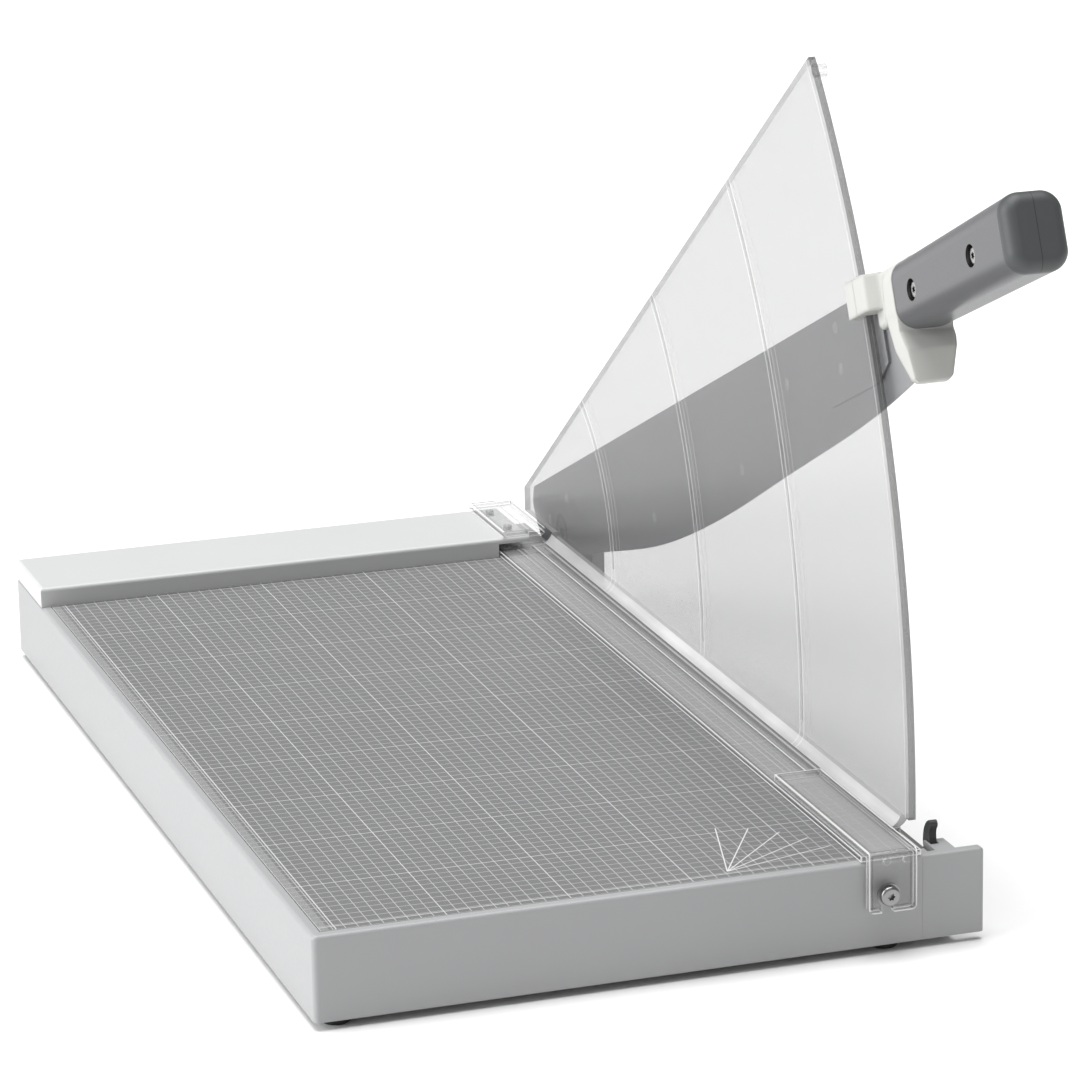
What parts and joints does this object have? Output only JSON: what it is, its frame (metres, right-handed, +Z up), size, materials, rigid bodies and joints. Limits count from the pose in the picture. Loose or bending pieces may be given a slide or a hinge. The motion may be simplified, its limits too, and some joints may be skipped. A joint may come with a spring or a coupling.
{
  "type": "guillotine paper cutter",
  "caption": "Desk guillotine paper cutter: flat board with a printed grid, rear stop, lifting clear clamp with guard, and a curved blade arm on a pivot with a tubular handle.",
  "frame": {"origin": "middle of the bounding box's footprint, at the bottom of the feet", "axes": "+X across the front to the right, +Y from the front to the rear stop along the cut, +Z up"},
  "size_m": [0.275, 0.6056, 0.3347],
  "materials": {
    "frame_grey": "satin",
    "frame_light": "satin",
    "board_grey": "matte",
    "mat": "matte",
    "steel": "brushed",
    "dark_metal": "satin",
    "clear": "clear, glossy",
    "off_white": "satin",
    "handle_grey": "anodised",
    "cap_grey": "matte",
    "dark_plastic": "matte",
    "bronze": "satin",
    "rubber": "matte"
  },
  "bodies": {
    "base": {"base_frame": "frame_grey", "board": "board_grey", "printed_mat": "mat", "backstop": "frame_light", "backstop_screws": "steel", "bottom_plate": "frame_grey", "bottom_screws": "steel", "foot_screws": "steel", "fixed_blade": "steel", "fixed_blade_screws": "steel", "front_end_piece": "frame_grey", "end_piece_screws": "steel", "pivot_bracket": "dark_metal", "bracket_screws": "steel", "pivot_bolt": "steel", "spring_washer": "steel", "pivot_nut": "steel", "guide_screw": "steel", "guide_washer": "steel", "guide_spacer": "steel", "latch_pin": "steel", "foot_front_left": "rubber", "foot_front_right": "rubber", "foot_rear_left": "rubber", "foot_rear_right": "rubber"},
    "latch": {"latch_lever": "dark_plastic"},
    "clamp": {"clamp_rail": "clear", "clamp_head": "clear", "clamp_head_rivets": "clear", "clamp_rear_tab": "clear", "clamp_guide_pins": "clear", "guard": "clear", "guard_stop": "clear"},
    "arm": {"blade": "steel", "blade_carrier": "dark_metal", "blade_rivets": "steel", "tang_plate": "steel", "tang_rivets": "steel", "pivot_bush": "bronze", "collar": "off_white", "rim_finger": "off_white", "handle_tube": "handle_grey", "handle_core": "dark_plastic", "handle_screws": "steel", "handle_cap": "cap_grey"}
  },
  "joints": [
    {"name": "clamp_lift", "type": "slide", "parent": "base", "child": "clamp", "axis": [0, 0, 1], "range_m": [0, 0.003]},
    {"name": "blade_swing", "type": "hinge", "parent": "base", "child": "arm", "pos_m": [0.1177, 0.24484, 0.0485], "axis": [-1, 0, 0], "range_deg": [-23, 11]},
    {"name": "latch_turn", "type": "hinge", "parent": "base", "child": "latch", "pos_m": [0.121, -0.19376, 0.0305], "axis": [-1, 0, 0], "range_deg": [0, 20]}
  ]
}
